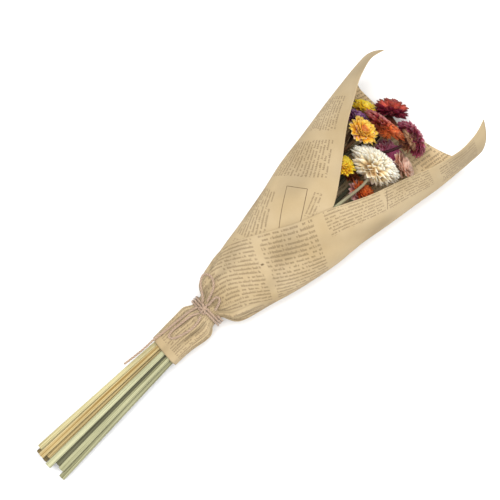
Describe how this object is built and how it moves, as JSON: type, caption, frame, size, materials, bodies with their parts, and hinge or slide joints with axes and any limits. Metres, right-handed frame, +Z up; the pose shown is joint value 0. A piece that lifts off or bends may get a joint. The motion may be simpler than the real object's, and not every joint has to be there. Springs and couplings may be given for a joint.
{
  "type": "dried flower bouquet",
  "caption": "Bunch of dried strawflower heads on dry stalks, rolled in a flared sheet of printed brown paper and tied at the neck with a bow of jute twine, lying on its back.",
  "frame": {"origin": "middle of the small flat spot on the back of the paper wrap, under its wide part, where the bouquet rests on the table", "axes": "+X along the bouquet from the cut stalks to the flowers, +Y left looking along +X, +Z up, out of the open side of the wrap"},
  "size_m": [0.4238, 0.1163, 0.0812],
  "materials": {
    "paper": "matt brown wrapping paper with a dark newsprint pattern",
    "twine": "hairy natural jute",
    "stalk_straw": "dry, ribbed, pale straw",
    "stalk_gold": "dry, ribbed, golden",
    "stalk_green": "dry, ribbed, grey-green",
    "cream_white": "dry papery bracts with a soft sheen",
    "lemon_yellow": "dry papery bracts with a soft sheen",
    "golden_orange": "dry papery bracts with a soft sheen",
    "purple": "dry papery bracts with a soft sheen",
    "second_yellow": "dry papery bracts with a soft sheen",
    "crimson": "dry papery bracts with a soft sheen",
    "coral_red": "dry papery bracts with a soft sheen",
    "maroon": "dry papery bracts with a soft sheen",
    "magenta_pink": "dry papery bracts with a soft sheen",
    "pale_pink": "dry papery bracts with a soft sheen",
    "rust_pink": "dry papery bracts with a soft sheen",
    "brown_rust": "dry papery bracts with a soft sheen"
  },
  "bodies": {
    "root": {"paper_wrap": "paper", "twine_tie": "twine", "twine_loop_right": "twine", "twine_loop_small": "twine", "twine_loop_left": "twine", "twine_tail_long": "twine", "stalk_cream_white": "stalk_straw", "stalk_lemon_yellow": "stalk_gold", "stalk_golden_orange": "stalk_gold", "stalk_purple": "stalk_straw", "stalk_second_yellow": "stalk_straw", "stalk_crimson": "stalk_green", "stalk_coral_red": "stalk_green", "stalk_maroon": "stalk_straw", "stalk_magenta_pink": "stalk_straw", "stalk_pale_pink": "stalk_green", "stalk_rust_pink": "stalk_green", "stalk_brown_rust": "stalk_straw", "head_cream_white": "cream_white", "head_lemon_yellow": "lemon_yellow", "head_golden_orange": "golden_orange", "head_purple": "purple", "head_second_yellow": "second_yellow", "head_crimson": "crimson", "head_coral_red": "coral_red", "head_maroon": "maroon", "head_magenta_pink": "magenta_pink", "head_pale_pink": "pale_pink", "head_rust_pink": "rust_pink", "head_brown_rust": "brown_rust"}
  },
  "joints": []
}
